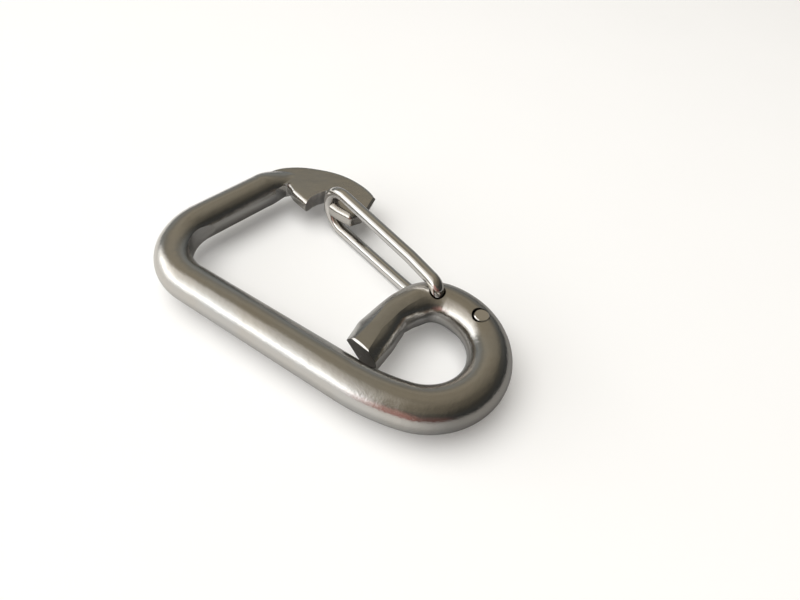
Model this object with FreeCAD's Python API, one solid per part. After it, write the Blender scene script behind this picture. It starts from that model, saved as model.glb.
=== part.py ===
# Asymmetric snap hook, 10 mm bar: a bent bar body with a fixed eye, a flattened
# nose with a latch notch, and a self-sprung wire gate whose two ends turn in
# two offset holes through the eye. The gate is built as an upper and a lower half.
#
# Frame: origin at the centre of the eye, in the mid-plane of the bar.
#   +X from the head of the hook towards the eye, along the straight spine
#   +Y from the spine towards the gate
#   +Z up, square to the plane of the hook
import FreeCAD, Part
import math
import os

Vector = FreeCAD.Vector
ORIGIN = Vector(0, 0, 0)
UP = Vector(0, 0, 1)

# Lengths are in millimetres and angles in degrees, unless noted.
# ---------------------------------------------------------------- bar
BAR_R = 10.0 / 2.0
EYE_R = 15.0              # centreline radius, as for the other bends
SPINE_Y = -16.35          # spine centreline
SPINE_HEAD_X = -57.5      # spine end at the head corner
SWEEP_TURN = 16.7         # gentle bend between spine and eye
SWEEP_R = ((-SPINE_Y - EYE_R * math.cos(math.radians(SWEEP_TURN)))
           / (1 - math.cos(math.radians(SWEEP_TURN))))   # tangent to both
HEAD_R = 15.34            # head corner
HEAD_TURN = 101.1
HEAD_BAR_LENGTH = 19.8    # straight bar between head corner and nose
SHOULDER_R = 8.0          # tighter bend from the eye into the free end
SHOULDER_START = 96.3     # angle where it leaves the eye circle
SHOULDER_FLATTEN = 160.0  # angle where the round bar starts to flatten
SHOULDER_LOFT = SHOULDER_FLATTEN - 50.0   # angle where the loft takes over

# Flat pressed inside the head corner
CRUSH_DEPTH = 0.85
CRUSH_SHIFT = 2.0         # cutter axis off the corner's centre
CRUSH_ANGLE = 212.0       # direction of that shift

# Trim flat beside the root of the first tooth
TRIM_CORNER = Vector(-63.75, 23.0, 0)
TRIM_WIDTH = 6
TRIM_LENGTH = 4.2
TRIM_HEIGHT = 14

# ---------------------------------------------------------------- nose
NOSE_T = 4.9              # thickness
NOSE_TOP = NOSE_T / 2.0
NOSE_EDGE_R = 1.2         # rolled outer edge
TOOTH_EDGE_R = {1: 1.7, -1: 2.1}   # rolled tooth edges: 1 upper, -1 lower
TOOTH_CORNER_R = 1.0      # outer corner of the second tooth
END_LEAN = 21.0           # the end is cut leaning in towards its underside
END_LEAN_DROP = 0.5       # that cut passes the end line this far below the top
END_BREAK = 0.75          # width of the broken upper edge of that cut
END_BREAK_TILT = 0.9      # its slope, radians
NOTCH_LEAN = 0.85         # how far the notch wall at the first tooth leans back

# ---------------------------------------------------------------- gate wire
WIRE_R = 3.4 / 2.0
LEG_Z = 6.8               # height of each leg's centreline off the mid-plane
LOOP_END = Vector(-48.70, 29.62, 0)   # centreline of the loop's closed end
LOOP_ANGLE = -15.5        # direction of the legs where they leave it
UPPER_HOLE = (-4.15, 13.35)
LOWER_HOLE = (7.50, 12.75)
UPPER_HOLE_R = 4.0 / 2.0
LOWER_HOLE_R = 4.2 / 2.0
LOWER_STUB_SET = (0.18, 0.15)   # where the lower stub rests off its hole's centre
LOWER_STUB = (LOWER_HOLE[0] + LOWER_STUB_SET[0], LOWER_HOLE[1] + LOWER_STUB_SET[1])
UPPER_STUB_END = 4.75     # distance of the stub's end past the mid-plane
LOWER_STUB_END = 4.90
UPPER_BEND_R = 2.6        # bend of each leg into its hole, centreline
LOWER_BEND_R = 2.0
STUB_CHAMFER = 0.2
UPSET_R = 3.6 / 2.0       # lower stub's end, upset slightly by the closing press
UPSET_LENGTH = 1.1
UPSET_STRAIGHT = 0.6      # cylindrical share of the upset; the rest is a cone
UPSET_TAPER = 0.4
# Slight knees in the legs: (x, y), bend radius.
UPPER_KNEES = [((-14.4, 17.75), 22.0)]
LOWER_KNEES = [((-15.5, 19.55), 60.0), ((4.2, 15.05), 6.0)]


# ------------------------------------------------------------ shared shapes
def cylinder(start, direction, radius, height):
    return Part.makeCylinder(radius, height, start, direction)


def bent_bar(center, bend_r, radius, start_angle, end_angle):
    """Part of a torus in the XY plane about center."""
    angle = math.radians(start_angle)
    start = center + Vector(bend_r * math.cos(angle), bend_r * math.sin(angle), 0)
    tangent = Vector(-math.sin(angle), math.cos(angle), 0)
    disc = Part.Face(Part.Wire(Part.makeCircle(radius, start, tangent)))
    return disc.revolve(center, UP, end_angle - start_angle)


def polar(center, radius, angle):
    return Vector(center[0] + radius * math.cos(math.radians(angle)),
                  center[1] + radius * math.sin(math.radians(angle)), 0)


def section(center, normal, corners, bulges):
    """Closed wire of eight arcs. corners are (across, up), anticlockwise.
    bulges are how far each arc stands out of its chord."""
    normal = Vector(normal[0], normal[1], 0)
    normal.normalize()
    across = Vector(-normal.y, normal.x, 0)
    mean_across = sum(p[0] for p in corners) / len(corners)
    mean_up = sum(p[1] for p in corners) / len(corners)
    edges = []
    for i, start in enumerate(corners):
        end = corners[(i + 1) % len(corners)]
        middle = ((start[0] + end[0]) / 2, (start[1] + end[1]) / 2)
        outward = (middle[0] - mean_across, middle[1] - mean_up)
        length = math.hypot(*outward)
        middle = (middle[0] + outward[0] / length * bulges[i],
                  middle[1] + outward[1] / length * bulges[i])
        arc = [center + across * p[0] + UP * p[1] for p in (start, middle, end)]
        edges.append(Part.Arc(*arc).toShape())
    return Part.Wire(edges)


def oval(half_width, half_height):
    """Eight section corners on an ellipse."""
    return [(half_width * math.cos(math.radians(22.5 + 45 * i)),
             half_height * math.sin(math.radians(22.5 + 45 * i))) for i in range(8)]


# Bar section: a true circle
BAR_CORNERS = oval(BAR_R, BAR_R)
BAR_BULGES = [BAR_R * (1 - math.cos(math.radians(22.5)))] * 8

# ----------------------------------------------------------------- bar path
head_center = Vector(SPINE_HEAD_X, SPINE_Y + HEAD_R, 0)
head_end_angle = -90.0 - HEAD_TURN
head_end = polar(head_center, HEAD_R, head_end_angle)
head_dir = Vector(math.sin(math.radians(head_end_angle)),
                  -math.cos(math.radians(head_end_angle)), 0)   # along the head bar
sweep_x = -(SWEEP_R - EYE_R) * math.sin(math.radians(SWEEP_TURN))
sweep_center = Vector(sweep_x, SPINE_Y + SWEEP_R, 0)
shoulder_center = polar(ORIGIN, EYE_R - SHOULDER_R, SHOULDER_START)

# ----------------------------------------------------------------- free end
# The eye's free end is pinched at the neck, then pressed into a flat-sided end
# cut off just short of the spine. Its path points towards -Y, so across in
# these sections runs towards +X.
# Corners are (across, up); bulges belong to the arcs that start at each corner.
NECK_CORNERS = [(3.9, 1.6), (1.9, 4.45), (-1.8, 4.7), (-4.0, 2.6),
                (-3.9, -1.2), (-1.8, -4.2), (1.8, -4.5), (3.9, -1.6)]
NECK_BULGES = [0.34, 0.20, 0.16, 0.12, 0.25, 0.32, 0.32, 0.32]
MID_CORNERS = [(4.15, 1.5), (1.0, 4.6), (-1.95, 4.8), (-5.2, 2.45),
               (-4.4, 0.1), (-1.4, -3.1), (1.8, -4.3), (4.2, -1.5)]
MID_BULGES = [0.55, 0.10, 0.16, 0.16, 0.15, 0.28, 0.28, 0.25]
TIP_CORNERS = [(3.7, 2.1), (1.4, 4.3), (-2.8, 4.45), (-4.95, 2.15),
               (-3.05, 0.45), (-0.5, -1.95), (1.7, -3.9), (4.1, -0.9)]
TIP_BULGES = [0.12, 0.08, 0.26, 0.04, 0.04, 0.06, 0.06, 0.10]
TIP = Vector(-9.65, -9.85, 0)
TIP_DIR = (-0.14, -0.99)
TIP_BREAK_Z = 4.1         # height of the broken edge at the tip
SLOPE_SHARE = 0.6         # how far the slope section has gone from bar to neck
# Round stations on the shoulder, degrees before SHOULDER_FLATTEN
ROUND_STATIONS = (112, 99.5, 87, 74.5, 62, 50, 37.5, 25, 13.5)
TURN_STATION = 2          # the last round station, likewise


def between(first, last, share):
    """Point lists or number lists, mixed share of the way to last."""
    if isinstance(first[0], tuple):
        return [(p[0] + (q[0] - p[0]) * share, p[1] + (q[1] - p[1]) * share)
                for p, q in zip(first, last)]
    return [p + (q - p) * share for p, q in zip(first, last)]


def mixed_station(first, last, share):
    """Station (center, normal, corners, bulges) share of the way to last."""
    center = first[0] + (last[0] - first[0]) * share
    return (center,) + tuple(between(p, q, share) for p, q in zip(first[1:], last[1:]))


def shoulder_station(angle):
    radians = math.radians(angle)
    return (polar(shoulder_center, SHOULDER_R, angle),
            (-math.sin(radians), math.cos(radians)), BAR_CORNERS, BAR_BULGES)


def make_free_end():
    turn = shoulder_station(SHOULDER_FLATTEN - TURN_STATION)
    slope = (Vector(-9.5, 6.4, 0), (-0.2, -0.98),
             between(BAR_CORNERS, NECK_CORNERS, SLOPE_SHARE),
             between(BAR_BULGES, NECK_BULGES, SLOPE_SHARE))
    neck = (Vector(-10.2, 3.1, 0), (0.0, -1.0), NECK_CORNERS, NECK_BULGES)
    mid = (Vector(-9.9, -3.5, 0), (0.0, -1.0), MID_CORNERS, MID_BULGES)
    tip = (TIP, TIP_DIR, TIP_CORNERS, TIP_BULGES)

    # Stations are about 1.7 mm apart. The loft runs on past both ends and is
    # trimmed back, because it swings a little where it starts and stops.
    stations = [shoulder_station(SHOULDER_FLATTEN - a) for a in ROUND_STATIONS]
    stations += [turn, mixed_station(turn, slope, 0.5), slope,
                 mixed_station(slope, neck, 0.5), neck]
    stations += [mixed_station(neck, mid, k) for k in (0.25, 0.5, 0.75)] + [mid]
    stations += [mixed_station(mid, tip, k) for k in (0.25, 0.5, 0.75)] + [tip]
    stations += [mixed_station(mid, tip, k) for k in (1.25, 1.5, 1.75)]
    shape = Part.makeLoft([section(*s) for s in stations], True, False)

    # Trim where it takes over from the round bar, then at the tip.
    angle = math.radians(SHOULDER_LOFT)
    shape = shape.cut(cylinder(polar(shoulder_center, SHOULDER_R, SHOULDER_LOFT),
                               Vector(math.sin(angle), -math.cos(angle), 0),
                               radius=18, height=20))
    shape = shape.cut(cylinder(TIP, Vector(*TIP_DIR, 0), radius=12, height=12))
    # Broken upper edge of the tip's cut face
    return shape.cut(cylinder(TIP + UP * TIP_BREAK_Z, Vector(*TIP_DIR, 1.0),
                              radius=9, height=5))


# ---------------------------------------------------------------------- nose
# Outline (x, y), clockwise from the outer side of the head bar. OUTER is a
# smooth curve; the rest is straight from point to point.
OUTER = [(-72.5, 25.4), (-71.5, 28.9), (-70.1, 32.0), (-67.8, 34.6),
         (-64.3, 37.15), (-60.3, 38.95), (-56.0, 40.35), (-51.2, 41.0),
         (-46.9, 40.75), (-43.3, 40.0), (-41.3, 39.35), (-39.4, 38.45)]
END_FACE = [(-38.2, 37.75), (-37.5, 37.1), (-37.0, 34.7), (-36.4, 32.4),
            (-36.1, 31.0)]
TOOTH_2 = [(-37.1, 28.3), (-38.6, 25.7), (-43.9, 25.95), (-46.7, 26.5)]
NOTCH = [(-45.45, 28.4), (-45.1, 30.4), (-46.0, 31.5), (-50.2, 31.75),
         (-51.3, 31.1), (-52.2, 28.95), (-52.75, 26.9), (-52.75, 24.9),
         (-52.45, 23.35)]
TOOTH_1 = [(-53.4, 23.55), (-57.0, 24.5), (-59.4, 25.25), (-61.4, 26.3),
           (-62.9, 26.85)]
ROOT = [(-64.9, 24.0), (-69.5, 22.0)]
# Cutter for the leaning notch wall: x and y at the top, then the share of
# NOTCH_LEAN taken towards -X and the shift towards +Y at the bottom.
NOTCH_CUTTER = [(-52.40, 22.5, 1, 0), (-52.72, 24.9, 1, 0),
                (-52.72, 26.9, 1, 0), (-52.17, 28.95, 1, 0.1),
                (-51.27, 31.05, 0.6, 0.4), (-50.15, 31.68, 0.3, 0.35),
                (-47.5, 31.0, 0, 0), (-47.5, 22.5, 0, 0)]
CUTTER_OVERRUN = 0.1      # past the nose's upper and lower faces


def at_height(point, z):
    return Vector(point[0], point[1], z)


def is_level(edge):
    """True for an edge whose two ends are at one height."""
    ends = edge.Vertexes
    return len(ends) == 2 and abs(ends[0].Z - ends[1].Z) < 1e-6


def is_over(vertex, point):
    """True when vertex stands at point in plan."""
    return math.hypot(vertex.X - point[0], vertex.Y - point[1]) < 0.05


def on_polyline(point, polyline, tolerance=0.03):
    """True when point lies on the polyline in plan."""
    for start, end in zip(polyline[:-1], polyline[1:]):
        dx, dy = end[0] - start[0], end[1] - start[1]
        share = (((point.x - start[0]) * dx + (point.y - start[1]) * dy)
                 / (dx * dx + dy * dy))
        share = min(1.0, max(0.0, share))
        if math.hypot(point.x - start[0] - share * dx,
                      point.y - start[1] - share * dy) < tolerance:
            return True
    return False


def rolled(shape, polyline, radius, side):
    """Rounds the level edges along polyline on the upper (1) or lower (-1) side."""
    edges = [e for e in shape.Edges
             if is_level(e) and all(on_polyline(v.Point, polyline) for v in e.Vertexes)
             and e.CenterOfMass.z * side >= 0]
    for scale in (1.0, 0.8, 0.6, 0.4):
        # The fillet may fail on the short segments; a smaller one is tried then.
        try:
            result = shape.makeFillet(radius * scale, edges)
            if result.isValid() and result.Volume > 0:
                return result
        except Exception:
            pass
    return shape


def nose_blank():
    curve = Part.BSplineCurve()
    curve.interpolate([at_height(p, -NOSE_TOP) for p in OUTER])
    edges = [curve.toShape()]
    chain = [OUTER[-1]] + END_FACE + TOOTH_2 + NOTCH + TOOTH_1 + ROOT + [OUTER[0]]
    for start, end in zip(chain[:-1], chain[1:]):
        edges.append(Part.makeLine(at_height(start, -NOSE_TOP),
                                   at_height(end, -NOSE_TOP)))
    return Part.Face(Part.Wire(edges)).extrude(UP * NOSE_T)


def round_nose(nose):
    # The outer corner of the second tooth is rounded over before its edges are.
    corner_edges = [e for e in nose.Edges if len(e.Vertexes) == 2
                    and abs(e.Vertexes[0].Z - e.Vertexes[1].Z) > 1
                    and is_over(e.Vertexes[0], TOOTH_2[1])]
    nose = nose.makeFillet(TOOTH_CORNER_R, corner_edges)
    for side in (1, -1):
        for polyline in (TOOTH_1 + [NOTCH[-1]], TOOTH_2):
            nose = rolled(nose, polyline, TOOTH_EDGE_R[side], side)
    outer_ends = (OUTER[0], OUTER[-1])
    outer_edges = [e for e in nose.Edges if is_level(e)
                   and all(any(is_over(v, p) for p in outer_ends)
                           for v in e.Vertexes)]
    return nose.makeFillet(NOSE_EDGE_R, outer_edges)


def closed_polygon(points, z):
    return Part.makePolygon([at_height(p, z) for p in points + [points[0]]])


def lean_notch_wall(nose):
    """Leans the notch wall at the first tooth back towards the underside."""
    top = [(x, y) for x, y, _, _ in NOTCH_CUTTER]
    bottom = [(x - share * NOTCH_LEAN, y + dy) for x, y, share, dy in NOTCH_CUTTER]
    z = NOSE_TOP + CUTTER_OVERRUN
    return nose.cut(Part.makeLoft([closed_polygon(top, z), closed_polygon(bottom, -z)],
                                  True, True))


def cut_nose_end(nose):
    """Leaning cut at the end of the nose, with its upper edge broken."""
    start, end = at_height(END_FACE[1], 0), at_height(END_FACE[3], 0)
    along = end - start
    along.normalize()
    outward = Vector(-along.y, along.x, 0)
    middle = (start + end) * 0.5
    lean = math.radians(END_LEAN)
    nose = nose.cut(cylinder(middle + UP * (NOSE_TOP - END_LEAN_DROP),
                             outward * math.cos(lean) - UP * math.sin(lean),
                             radius=40, height=40))
    return nose.cut(cylinder(middle + UP * NOSE_TOP - outward * END_BREAK,
                             outward * math.cos(END_BREAK_TILT)
                             + UP * math.sin(END_BREAK_TILT),
                             radius=40, height=40))


# Forged transition from the round bar down to the flat nose:
# centre (x, y), direction, half width, half height, bulge
BLEND_SECTIONS = [
    ((-67.65, 25.8), (0.24, 0.97), 5.0, 4.5, 0.34),
    ((-65.9, 29.5), (0.42, 0.91), 4.8, 3.1, 0.25),
    ((-63.6, 32.0), (0.6, 0.8), 4.5, NOSE_TOP, 0.18),
]


def make_blend():
    wires = [section(head_end + head_dir * HEAD_BAR_LENGTH, (head_dir.x, head_dir.y),
                     BAR_CORNERS, BAR_BULGES)]
    for center, direction, half_width, half_height, bulge in BLEND_SECTIONS:
        wires.append(section(at_height(center, 0), direction,
                             oval(half_width, half_height), [bulge] * 8))
    return Part.makeLoft(wires, True, False)


# ---------------------------------------------------------------- hook body
def head_crush_cutter():
    """Round cutter for the flat pressed inside the head corner."""
    angle = math.radians(CRUSH_ANGLE)
    base = head_center + Vector(CRUSH_SHIFT * math.cos(angle),
                                CRUSH_SHIFT * math.sin(angle), -10)
    return cylinder(base, UP, HEAD_R - BAR_R + CRUSH_DEPTH - CRUSH_SHIFT, height=20)


def trim_cutter():
    """Block for the trim flat, turned to lie along the head bar."""
    block = Part.makeBox(TRIM_WIDTH, TRIM_LENGTH, TRIM_HEIGHT,
                         Vector(0, 0, -TRIM_HEIGHT / 2))
    block.rotate(ORIGIN, UP, math.degrees(math.atan2(head_dir.y, head_dir.x)) - 90)
    block.translate(TRIM_CORNER)
    return block


def make_body():
    spine = cylinder(Vector(SPINE_HEAD_X, SPINE_Y, 0), Vector(1, 0, 0), BAR_R,
                     sweep_x - SPINE_HEAD_X)
    eye_start = -90.0 + SWEEP_TURN
    sweep = bent_bar(sweep_center, SWEEP_R, BAR_R, -90.0, eye_start)
    eye = bent_bar(ORIGIN, EYE_R, BAR_R, eye_start, SHOULDER_START)
    shoulder = bent_bar(shoulder_center, SHOULDER_R, BAR_R,
                        SHOULDER_START, SHOULDER_LOFT)
    corner = bent_bar(head_center, HEAD_R, BAR_R, head_end_angle, -90.0)
    head_bar = cylinder(head_end, head_dir, BAR_R, HEAD_BAR_LENGTH)
    free_end = make_free_end()
    nose = cut_nose_end(lean_notch_wall(round_nose(nose_blank())))

    body = spine.fuse([sweep, eye, shoulder, corner, head_bar, free_end, nose,
                       make_blend()])
    body = body.cut(head_crush_cutter())
    body = body.cut(trim_cutter())
    # The nose goes on again to restore what the trim block took from it.
    body = body.fuse(nose)
    # Holes for the gate's two ends, right through the bar
    for hole, radius in ((UPPER_HOLE, UPPER_HOLE_R), (LOWER_HOLE, LOWER_HOLE_R)):
        body = body.cut(cylinder(at_height(hole, -12), UP, radius, height=24))
    return body.removeSplitter()


# ---------------------------------------------------------------- gate wire
def filleted_path(points, radii):
    """Lines through points with arcs of the given radii at the inner points."""
    edges = []
    current = points[0]
    for i, radius in enumerate(radii, 1):
        knee = points[i]
        back = points[i - 1] - knee
        ahead = points[i + 1] - knee
        back.normalize()
        ahead.normalize()
        half_angle = back.getAngle(ahead) / 2.0
        setback = radius / math.tan(half_angle)
        start, end = knee + back * setback, knee + ahead * setback
        bisector = back + ahead
        bisector.normalize()
        center = knee + bisector * (radius / math.sin(half_angle))
        to_knee = knee - center
        to_knee.normalize()
        if (start - current).Length > 1e-6:
            edges.append(Part.makeLine(current, start))
        edges.append(Part.Arc(start, center + to_knee * radius, end).toShape())
        current = end
    edges.append(Part.makeLine(current, points[-1]))
    return edges


def gate_path(side, knees, hole, bend_r, stub_end):
    """Half the gate's centreline: a quarter of the closed end, the leg, the stub."""
    leg_dir = Vector(math.cos(math.radians(LOOP_ANGLE)),
                     math.sin(math.radians(LOOP_ANGLE)), 0)
    eighth = math.radians(45)
    middle = (LOOP_END + leg_dir * (LEG_Z * (1 - math.cos(eighth)))
              + UP * (side * LEG_Z * math.sin(eighth)))
    leg_start = LOOP_END + leg_dir * LEG_Z + UP * (side * LEG_Z)
    quarter = Part.Arc(LOOP_END, middle, leg_start).toShape()
    points = [leg_start] + [at_height(p, side * LEG_Z) for p, _ in knees]
    points += [at_height(hole, side * LEG_Z), at_height(hole, -side * stub_end)]
    return [quarter] + filleted_path(points, [r for _, r in knees] + [bend_r])


def wire_along(edge):
    """Round wire along one straight or circular path edge."""
    start = edge.valueAt(edge.FirstParameter)
    end = edge.valueAt(edge.LastParameter)
    if isinstance(edge.Curve, Part.Line):
        return cylinder(start, end - start, WIRE_R, (end - start).Length)
    center, axis = edge.Curve.Center, edge.Curve.Axis
    tangent = axis.cross(start - center)
    disc = Part.Face(Part.Wire(Part.makeCircle(WIRE_R, start, tangent)))
    turn = math.degrees(edge.LastParameter - edge.FirstParameter)
    return disc.revolve(center, axis, turn)


def upset_end(side, hole, stub_end):
    """Thickened end of a stub: a short cylinder, then a cone to the wire."""
    end = at_height(hole, -side * stub_end)
    inward = Vector(0, 0, side)
    straight = UPSET_LENGTH * UPSET_STRAIGHT
    return [cylinder(end, inward, UPSET_R, straight),
            Part.makeCone(UPSET_R, WIRE_R, UPSET_LENGTH * UPSET_TAPER,
                          end + inward * straight, inward)]


def chamfer_stub(wire, stub_end):
    """Small chamfer on the cut end of the stub."""
    for edge in wire.Edges:
        if abs(abs(edge.CenterOfMass.z) - stub_end) < 0.01 and edge.Closed:
            # If the chamfer can't be made, the end stays sharp.
            try:
                return wire.makeChamfer(STUB_CHAMFER, [edge])
            except Exception:
                return wire
    return wire


def make_gate_half(side, knees, hole, bend_r, stub_end, upset=False):
    """Half of the gate above (side 1) or below (side -1) the mid-plane."""
    bits = [wire_along(e) for e in gate_path(side, knees, hole, bend_r, stub_end)]
    if upset:
        bits += upset_end(side, hole, stub_end)
    wire = bits[0].fuse(bits[1:]).removeSplitter()
    if wire.ShapeType != "Solid":
        wire = wire.Solids[0]
    return chamfer_stub(wire, stub_end)


# ------------------------------------------------------------------- output
parts = {
    "hook_body": make_body(),
    "gate_wire_upper": make_gate_half(1, UPPER_KNEES, UPPER_HOLE, UPPER_BEND_R,
                                      UPPER_STUB_END),
    "gate_wire_lower": make_gate_half(-1, LOWER_KNEES, LOWER_STUB, LOWER_BEND_R,
                                      LOWER_STUB_END, upset=True),
}
os.makedirs("parts", exist_ok=True)
for name, shape in parts.items():
    if shape.ShapeType == "Compound" and len(shape.Solids) == 1:
        shape = shape.Solids[0]
    shape.exportStep("parts/" + name + ".step")
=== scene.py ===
"""A polished steel hook whose gate is two wires, on a white floor in a soft studio.

The hook lies along the XY plane with Z up, the floor just below it. Units are metres.
Front is -Y, left is -X. The bar's sheared end is near the origin; its nose and notch
are to the back left.
"""
import bpy
import math
from mathutils import Matrix, Vector

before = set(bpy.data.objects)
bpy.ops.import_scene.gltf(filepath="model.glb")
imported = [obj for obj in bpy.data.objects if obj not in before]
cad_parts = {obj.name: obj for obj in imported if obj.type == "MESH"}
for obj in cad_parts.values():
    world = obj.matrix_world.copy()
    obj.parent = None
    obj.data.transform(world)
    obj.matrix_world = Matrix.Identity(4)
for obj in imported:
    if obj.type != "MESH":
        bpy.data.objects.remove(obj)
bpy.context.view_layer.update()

scene = bpy.context.scene


# ---------------------------------------------------------------- node graphs
class Graph:
    """Builds shader nodes; any input may be a plain value or another node's output."""

    def __init__(self, owner):
        owner.use_nodes = True
        self.tree = owner.node_tree
        self.tree.nodes.clear()

    def node(self, kind, inputs=None, **properties):
        node = self.tree.nodes.new(kind)
        for key, value in properties.items():
            setattr(node, key, value)
        for key, value in (inputs or {}).items():
            socket = node.inputs[key]
            if isinstance(value, bpy.types.NodeSocket):
                self.tree.links.new(value, socket)
            elif socket.type == "RGBA":
                socket.default_value = (*value, 1.0)
            else:
                socket.default_value = value
        return node

    def math(self, operation, *values):
        return self.node("ShaderNodeMath", dict(enumerate(values)), operation=operation).outputs[0]

    def add_scaled(self, total, value, gain):
        return self.math("ADD", total, self.math("MULTIPLY", value, gain))

    def vector_math(self, operation, first, second):
        return self.node("ShaderNodeVectorMath", {0: first, 1: second}, operation=operation)

    def ramp(self, value, start, end, low=0.0, high=1.0, smooth=True):
        """Goes from low to high as the value goes from start to end."""
        return self.node("ShaderNodeMapRange",
                         {"Value": value, "From Min": start, "From Max": end,
                          "To Min": low, "To Max": high},
                         interpolation_type="SMOOTHSTEP" if smooth else "LINEAR").outputs["Result"]

    def mix(self, factor, first, second, blend="MIX"):
        # Inputs 6 and 7 are the colour pair.
        return self.node("ShaderNodeMix", {"Factor": factor, 6: first, 7: second},
                         data_type="RGBA", blend_type=blend).outputs[2]

    def noise(self, vector, scale, detail=2.0, roughness=0.5, distortion=0.0):
        return self.node("ShaderNodeTexNoise",
                         {"Vector": vector, "Scale": scale, "Detail": detail,
                          "Roughness": roughness, "Distortion": distortion}).outputs["Fac"]

    def curve(self, value, points):
        node = self.node("ShaderNodeFloatCurve", {"Value": value})
        curve = node.mapping.curves[0]
        curve.points[0].location = points[0]
        curve.points[1].location = points[-1]
        for point in points[1:-1]:
            curve.points.new(*point)
        node.mapping.update()
        return node.outputs[0]

    def coordinates(self, name):
        return self.node("ShaderNodeTexCoord").outputs[name]

    def is_ray(self, kind):
        return self.node("ShaderNodeLightPath").outputs[f"Is {kind} Ray"]

    def separate(self, vector):
        return self.node("ShaderNodeSeparateXYZ", {0: vector}).outputs


# ---------------------------------------------------------------------- steel
# Hairline scratches: scale along, scale across, turn about Z (radians).
SCRATCH_SETS = (
    (40, 2600, 0.35),
    (55, 3100, -0.62),
    (70, 2300, 1.9),
)
BUMP_UNIT = 1e-5        # one unit of bump height


def hairlines(graph, position):
    """Scratches in three directions: noise stretched along each one."""
    lines = None
    for index, (along, across, turn) in enumerate(SCRATCH_SETS):
        stretched = graph.node("ShaderNodeMapping", {
            "Vector": position,
            "Scale": (along, across, across),
            "Rotation": (0.3 * index, 0.2 - 0.3 * index, turn),
        }).outputs["Vector"]
        streaks = graph.noise(stretched, scale=1.0, detail=3.0, roughness=0.65, distortion=0.15)
        streaks = graph.ramp(streaks, start=0.60, end=0.72)
        lines = streaks if lines is None else graph.math("MAXIMUM", lines, streaks)
    return lines


def steel(name, color, roughness, grain, peel, scratch):
    """Stainless steel; grain, peel and scratch scale the fine grain, waves and hairlines."""
    material = bpy.data.materials.new(name)
    graph = Graph(material)
    position = graph.coordinates("Object")

    # Feature sizes are about 0.4, 0.15, 3 and 17 mm.
    grit = graph.noise(position, scale=2700.0, detail=4.0, roughness=0.66)
    fine_grit = graph.noise(position, scale=6000.0, detail=2.0, roughness=0.6)
    waves = graph.noise(position, scale=330.0)
    broad = graph.noise(position, scale=60.0)
    lines = hairlines(graph, position)

    # Colour drifts slightly warm, with small dark specks.
    red, green, blue = color
    warm = (red * 1.02, green * 0.99, blue * 0.95)
    dark = tuple(channel * 0.93 for channel in color)
    tint = graph.mix(graph.ramp(broad, start=0.35, end=0.65), color, warm)
    specks = graph.ramp(grit, start=0.66, end=0.74, low=0.0, high=0.55)
    tint = graph.mix(specks, tint, dark)

    # Roughness varies about its base value and never falls to a perfect mirror.
    rough = graph.math("MULTIPLY_ADD", graph.math("SUBTRACT", grit, 0.5), 0.16 * grain, roughness)
    rough = graph.add_scaled(rough, lines, gain=0.05 * scratch)
    rough = graph.add_scaled(rough, graph.math("SUBTRACT", broad, 0.5), gain=0.08)
    rough = graph.math("MAXIMUM", rough, 0.03)

    # Relief in bump units: waves and grain stand up, scratches cut in.
    height = graph.math("MULTIPLY", waves, 9.0 * peel)
    height = graph.add_scaled(height, grit, gain=3.4 * grain)
    height = graph.add_scaled(height, fine_grit, gain=0.8 * grain)
    height = graph.math("SUBTRACT", height, graph.math("MULTIPLY", lines, 0.10 * scratch))
    bump = graph.node("ShaderNodeBump",
                      {"Strength": 1.0, "Distance": BUMP_UNIT, "Height": height})

    surface = graph.node("ShaderNodeBsdfPrincipled", {
        "Base Color": tint,
        "Metallic": 1.0,
        "Roughness": rough,
        "Normal": bump.outputs[0],
    })
    graph.node("ShaderNodeOutputMaterial", {0: surface.outputs[0]})
    return material


bar_steel = steel("bar_steel", color=(0.585, 0.575, 0.555), roughness=0.10,
                  grain=1.0, peel=1.0, scratch=1.0)
wire_steel = steel("wire_steel", color=(0.70, 0.692, 0.68), roughness=0.045,
                   grain=0.25, peel=0.4, scratch=0.8)
# Painted light: this steel is paler than the bar. That is partly its real satin finish and partly
# painted brightening, standing in for light the floor's shadow takes out of its reflections.
sheared_painted_bright_steel = steel("sheared_painted_bright_steel", color=(0.84, 0.835, 0.84), roughness=0.36,
                      grain=1.0, peel=0.6, scratch=2.2)
cut_steel = steel("cut_steel", color=(0.31, 0.305, 0.30), roughness=0.30,
                  grain=1.2, peel=0.6, scratch=2.2)


# ----------------------------------------------------------------- hook pieces
SHARP_ANGLE = math.radians(19.0)

# Plane of the bar's sheared end, and how closely a face has to match it.
END_NORMAL = Vector((-0.14, -0.99, 0.0)).normalized()
END_POINT = Vector((-0.00965, -0.00985, 0.0))
END_MIN_ALIGNMENT = 0.985
END_TOLERANCE = 6e-5
END_MAX_X = -0.004

# Box round the notch; below its lower part, faces turned to -Y are outside the notch.
NOTCH_X = (-0.0540, -0.0450)
NOTCH_Y = (0.0232, 0.0325)
NOTCH_LOWER_Y = 0.0275

# The nose's end face lies beyond this corner and faces +X.
NOSE_MIN_X = -0.0392
NOSE_MIN_Y = 0.0308


def shade(piece, material):
    """Gives a piece one material and smooth shading broken at its hard edges."""
    mesh = piece.data
    mesh.materials.clear()
    mesh.materials.append(material)
    mesh.shade_smooth()
    mesh.set_sharp_from_angle(angle=SHARP_ANGLE)
    for face in mesh.polygons:
        face.material_index = 0
    modifier = piece.modifiers.new("weighted_normals", "WEIGHTED_NORMAL")
    modifier.mode = "FACE_AREA_WITH_ANGLE"
    modifier.keep_sharp = True


def on_sheared_end(center, normal):
    return (normal.dot(END_NORMAL) > END_MIN_ALIGNMENT
            and abs((center - END_POINT).dot(END_NORMAL)) < END_TOLERANCE
            and center.x < END_MAX_X)


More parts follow.
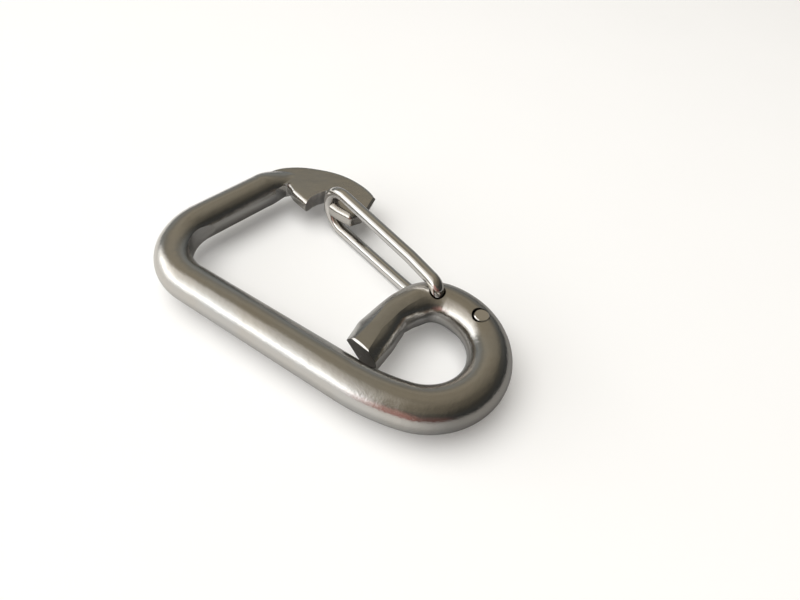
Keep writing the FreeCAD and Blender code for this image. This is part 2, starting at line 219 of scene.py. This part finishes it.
def in_notch(center, normal):
    in_box = (NOTCH_X[0] < center.x < NOTCH_X[1]
              and NOTCH_Y[0] < center.y < NOTCH_Y[1])
    upright = abs(normal.z) < 0.35
    faces_front = normal.y < -0.75
    faces_side = normal.x > 0.5 or normal.x < -0.9
    outside = center.y < NOTCH_LOWER_Y and faces_front
    return in_box and upright and (faces_side or faces_front) and not outside


def on_nose_end(center, normal):
    return (center.x > NOSE_MIN_X and center.y > NOSE_MIN_Y
            and normal.x > 0.6 and normal.z < 0.2)


def mark_cut_faces(piece):
    """The sheared end is dull and dark; the notch and the nose's end are satin, with a pale colour
    that is partly painted light.
    """
    mesh = piece.data
    mesh.materials.append(cut_steel)
    mesh.materials.append(sheared_painted_bright_steel)
    for face in mesh.polygons:
        center, normal = face.center, face.normal
        if on_sheared_end(center, normal):
            face.material_index = 1
        elif in_notch(center, normal) or on_nose_end(center, normal):
            face.material_index = 2


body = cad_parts["hook_body"]
wires = [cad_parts["gate_wire_upper"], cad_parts["gate_wire_lower"]]
shade(body, bar_steel)
mark_cut_faces(body)
for wire in wires:
    shade(wire, wire_steel)


# ---------------------------------------------------------------------- floor
FLOOR_Z = -0.00856
FLOOR_HALF = 3.0


def floor_white():
    """Matt white with painted shade in reflections and a painted glow seen by the camera; clear
    from below.
    """
    material = bpy.data.materials.new("floor_white")
    graph = Graph(material)
    camera_ray = graph.is_ray("Camera")
    backfacing = graph.node("ShaderNodeNewGeometry").outputs["Backfacing"]
    seen_from_below = graph.math("MULTIPLY", backfacing, camera_ray)
    # Painted light: a faint glow, seen only by the camera, lifts the floor and its shadow toward
    # white.
    painted_glow = graph.math("MULTIPLY", camera_ray, 0.09)
    position = graph.coordinates("Object")

    # Painted shade for reflections only: the metal sees this floor lit on the window side and
    # shaded on the other, and a painted shadow makes it a little darker when it looks steeply
    # down, standing in for the hook's own shadow.
    incoming = graph.node("ShaderNodeNewGeometry").outputs["Incoming"]
    x, y, z = graph.separate(incoming)
    toward_window = graph.add_scaled(graph.math("MULTIPLY", x, 0.79), y, gain=0.61)
    reflection_painted_shade = graph.ramp(toward_window, start=-0.55, end=0.75, low=0.34, high=0.92)
    steep_painted_shadow = graph.ramp(z, start=0.45, end=0.85, low=1.0, high=0.72)
    reflection_painted_shade = graph.math("MULTIPLY", reflection_painted_shade, steep_painted_shadow)
    shading = graph.mix(graph.is_ray("Glossy"), (1.0, 1.0, 1.0), reflection_painted_shade)
    white = graph.mix(graph.noise(position, scale=20.0), (0.90, 0.90, 0.895), (0.92, 0.92, 0.915))

    surface = graph.node("ShaderNodeBsdfPrincipled", {
        "Base Color": graph.mix(1.0, white, shading, blend="MULTIPLY"),
        "Roughness": 0.9,
        "Specular IOR Level": 0.1,
        "Emission Color": (1.0, 1.0, 1.0),
        "Emission Strength": painted_glow,
    })
    clear = graph.node("ShaderNodeBsdfTransparent")
    mixed = graph.node("ShaderNodeMixShader",
                       {0: seen_from_below, 1: surface.outputs[0], 2: clear.outputs[0]})
    graph.node("ShaderNodeOutputMaterial", {0: mixed.outputs[0]})
    return material


def build_floor():
    mesh = bpy.data.meshes.new("floor")
    corners = [(x * FLOOR_HALF, y * FLOOR_HALF, FLOOR_Z)
               for x, y in ((-1, -1), (1, -1), (1, 1), (-1, 1))]
    mesh.from_pydata(corners, [], [(0, 1, 2, 3)])
    floor = bpy.data.objects.new("floor", mesh)
    scene.collection.objects.link(floor)
    mesh.materials.append(floor_white())


build_floor()


# ---------------------------------------------------------------------- world
WINDOW_AZIMUTH = math.radians(47)       # from front towards the left
WINDOW_STRENGTH = 2.0
ROOM_STRENGTH = 1.65

# Height above the horizon (0 to 1 for 0 to 90 degrees), brightness.
WINDOW_BY_HEIGHT = [
    (0.0, 0.38), (0.09, 0.56), (0.16, 0.92), (0.22, 1.0), (0.28, 0.92),
    (0.34, 0.64), (0.40, 0.48), (0.50, 0.33), (0.60, 0.23), (0.70, 0.15),
    (0.80, 0.09), (0.90, 0.04), (1.0, 0.0),
]
ROOM_BY_HEIGHT = [
    (0.0, 0.62), (0.08, 0.42), (0.16, 0.66), (0.27, 0.62), (0.33, 0.46),
    (0.40, 0.64), (0.50, 0.70), (0.585, 0.66), (0.625, 0.44), (0.665, 0.68),
    (0.76, 0.62), (0.86, 0.66), (0.93, 0.52), (1.0, 0.56),
]

# Dim reddish patches. Degrees: azimuth from front towards the right, elevation,
# outer radius, inner radius; then colour.
RED_PATCHES = (
    (8, 10, 24, 12, (0.30, 0.10, 0.075)),
    (42, 2, 26, 8, (0.10, 0.030, 0.022)),
)


def by_height(graph, elevation, points):
    height = graph.ramp(elevation, start=0.0, end=math.pi / 2, smooth=False)
    return graph.curve(height, points)


def window_light(graph, x, y, elevation):
    """One broad bright side, low, to the front left."""
    squares = graph.math("ADD", graph.math("MULTIPLY", x, x), graph.math("MULTIPLY", y, y))
    level_length = graph.math("MAXIMUM", graph.math("SQRT", squares), 0.001)
    along = graph.add_scaled(graph.math("MULTIPLY", x, -math.sin(WINDOW_AZIMUTH)),
                             y, gain=-math.cos(WINDOW_AZIMUTH))
    facing = graph.ramp(graph.math("DIVIDE", along, level_length), start=0.67, end=0.87)
    brightness = by_height(graph, elevation, WINDOW_BY_HEIGHT)
    window = graph.math("MULTIPLY", graph.math("MULTIPLY", brightness, facing), WINDOW_STRENGTH)
    return graph.node("ShaderNodeCombineXYZ", {0: window, 1: window, 2: window}).outputs[0]


def room_light(graph, x, y, z, elevation):
    """A dim room with faint level bands, dark to the right and warm overhead."""
    side = graph.math("ADD", graph.math("MULTIPLY", x, -1.0),
                      graph.add_scaled(graph.math("MULTIPLY", y, -0.1), z, gain=0.45))
    room = graph.ramp(side, start=-0.75, end=0.75, low=0.05, high=0.27)
    bands = by_height(graph, elevation, ROOM_BY_HEIGHT)
    room = graph.math("MULTIPLY", room, graph.math("MULTIPLY", bands, ROOM_STRENGTH))
    color = graph.mix(graph.ramp(z, start=0.1, end=0.8), (0.95, 1.0, 1.0), (1.12, 1.0, 0.78))
    return graph.node("ShaderNodeVectorMath", {0: color, "Scale": room},
                      operation="SCALE").outputs[0]


def red_patch(graph, direction, azimuth, elevation, outer, inner, color):
    azimuth, elevation = math.radians(azimuth), math.radians(elevation)
    center = (math.sin(azimuth) * math.cos(elevation),
              -math.cos(azimuth) * math.cos(elevation),
              math.sin(elevation))
    closeness = graph.vector_math("DOT_PRODUCT", direction, center).outputs["Value"]
    spot = graph.ramp(closeness, start=math.cos(math.radians(outer)),
                      end=math.cos(math.radians(inner)))
    return graph.mix(spot, (0, 0, 0), color)


def build_world():
    world = bpy.data.worlds.new("studio")
    scene.world = world
    graph = Graph(world)
    direction = graph.coordinates("Generated")
    x, y, z = graph.separate(direction)
    elevation = graph.math("ARCSINE", z)
    window = window_light(graph, x, y, elevation)
    room = room_light(graph, x, y, z, elevation)
    patches = [red_patch(graph, direction, *patch) for patch in RED_PATCHES]
    red = graph.vector_math("ADD", *patches).outputs[0]
    room = graph.vector_math("ADD", room, red).outputs[0]
    total = graph.vector_math("ADD", room, window).outputs[0]
    studio = graph.node("ShaderNodeBackground", {"Color": total, "Strength": 1.0})

    # Past the floor the camera itself sees a plain pale wall.
    wall = graph.node("ShaderNodeBackground", {"Color": (0.86, 0.86, 0.85)})
    mixed = graph.node("ShaderNodeMixShader", {0: graph.is_ray("Camera"),
                                               1: studio.outputs[0], 2: wall.outputs[0]})
    graph.node("ShaderNodeOutputWorld", {0: mixed.outputs[0]})


build_world()


# ---------------------------------------------------------------------- light
LIGHT_PLACE = Vector((-0.25, -0.25, 1.1))
LIGHT_TARGET = Vector((-0.03, 0.01, 0))


def build_light():
    """A soft overhead disk that the metal doesn't reflect."""
    data = bpy.data.lights.new("overhead_soft", "AREA")
    data.shape = "DISK"
    data.size = 1.3
    data.energy = 11.5
    light = bpy.data.objects.new("overhead_soft", data)
    scene.collection.objects.link(light)
    light.location = LIGHT_PLACE
    light.rotation_mode = "QUATERNION"
    light.rotation_quaternion = (LIGHT_TARGET - LIGHT_PLACE).to_track_quat("-Z", "Y")
    light.visible_glossy = False


build_light()
scene.view_settings.view_transform = "Standard"


# --------------------------------------------------------------------- camera
CAMERA_PLACE = (0.02637, -0.06634, 0.09699)
# Axis times angle (radians), from the world to a view with y down and z ahead.
VIEW_TURN = Vector((2.255, 0.712, -0.257))


def build_camera():
    data = bpy.data.cameras.new("camera")
    camera = bpy.data.objects.new("camera", data)
    scene.collection.objects.link(camera)
    world_to_view = Matrix.Rotation(VIEW_TURN.length, 3, VIEW_TURN.normalized())
    # A Blender camera has y up and looks along -z.
    flip = Matrix(((1, 0, 0), (0, -1, 0), (0, 0, -1)))
    camera.rotation_mode = "QUATERNION"
    camera.rotation_quaternion = (world_to_view.transposed() @ flip).to_quaternion()
    camera.location = CAMERA_PLACE
    data.sensor_fit = "HORIZONTAL"
    data.sensor_width = 36.0
    data.lens = 23.50161
    data.shift_x = 0.0420575
    data.shift_y = -0.05061625
    data.clip_start = 0.005
    data.clip_end = 20.0
    scene.camera = camera


build_camera()
